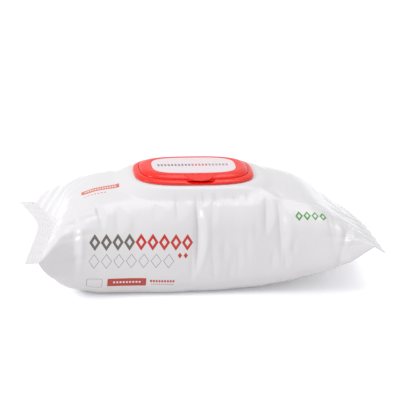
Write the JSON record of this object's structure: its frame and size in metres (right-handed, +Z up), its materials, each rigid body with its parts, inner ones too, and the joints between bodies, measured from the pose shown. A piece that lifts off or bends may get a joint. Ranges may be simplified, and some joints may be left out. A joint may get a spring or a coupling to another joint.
{
  "type": "wet wipes pack",
  "caption": "Soft sealed film pack of wet wipes with crimped ends and a hinged oval flip-top lid over its mouth.",
  "frame": {"origin": "middle of the pack's bounding box, on the floor that it lies on", "axes": "+X along the pack towards its longer drooping end, -Y towards the printed front, +Z up through the lid"},
  "size_m": [0.2798, 0.1464, 0.0918],
  "materials": {
    "film": "satin white film",
    "lid_plastic": "glossy red moulding",
    "label_stock": "satin label",
    "peel_stock": "satin peel-off film",
    "glue": "hot-melt adhesive"
  },
  "bodies": {
    "root": {"pouch": "film", "peel_seal": "peel_stock", "lid_glue": "glue", "lid_base": "lid_plastic"},
    "flap": {"lid_flap": "lid_plastic", "lid_label": "label_stock"}
  },
  "joints": [
    {"name": "flap_hinge", "type": "hinge", "parent": "root", "child": "flap", "pos_m": [-0.00247, 0.02195, 0.0888], "axis": [-1, 0, 0], "range_deg": [0, 120]}
  ]
}
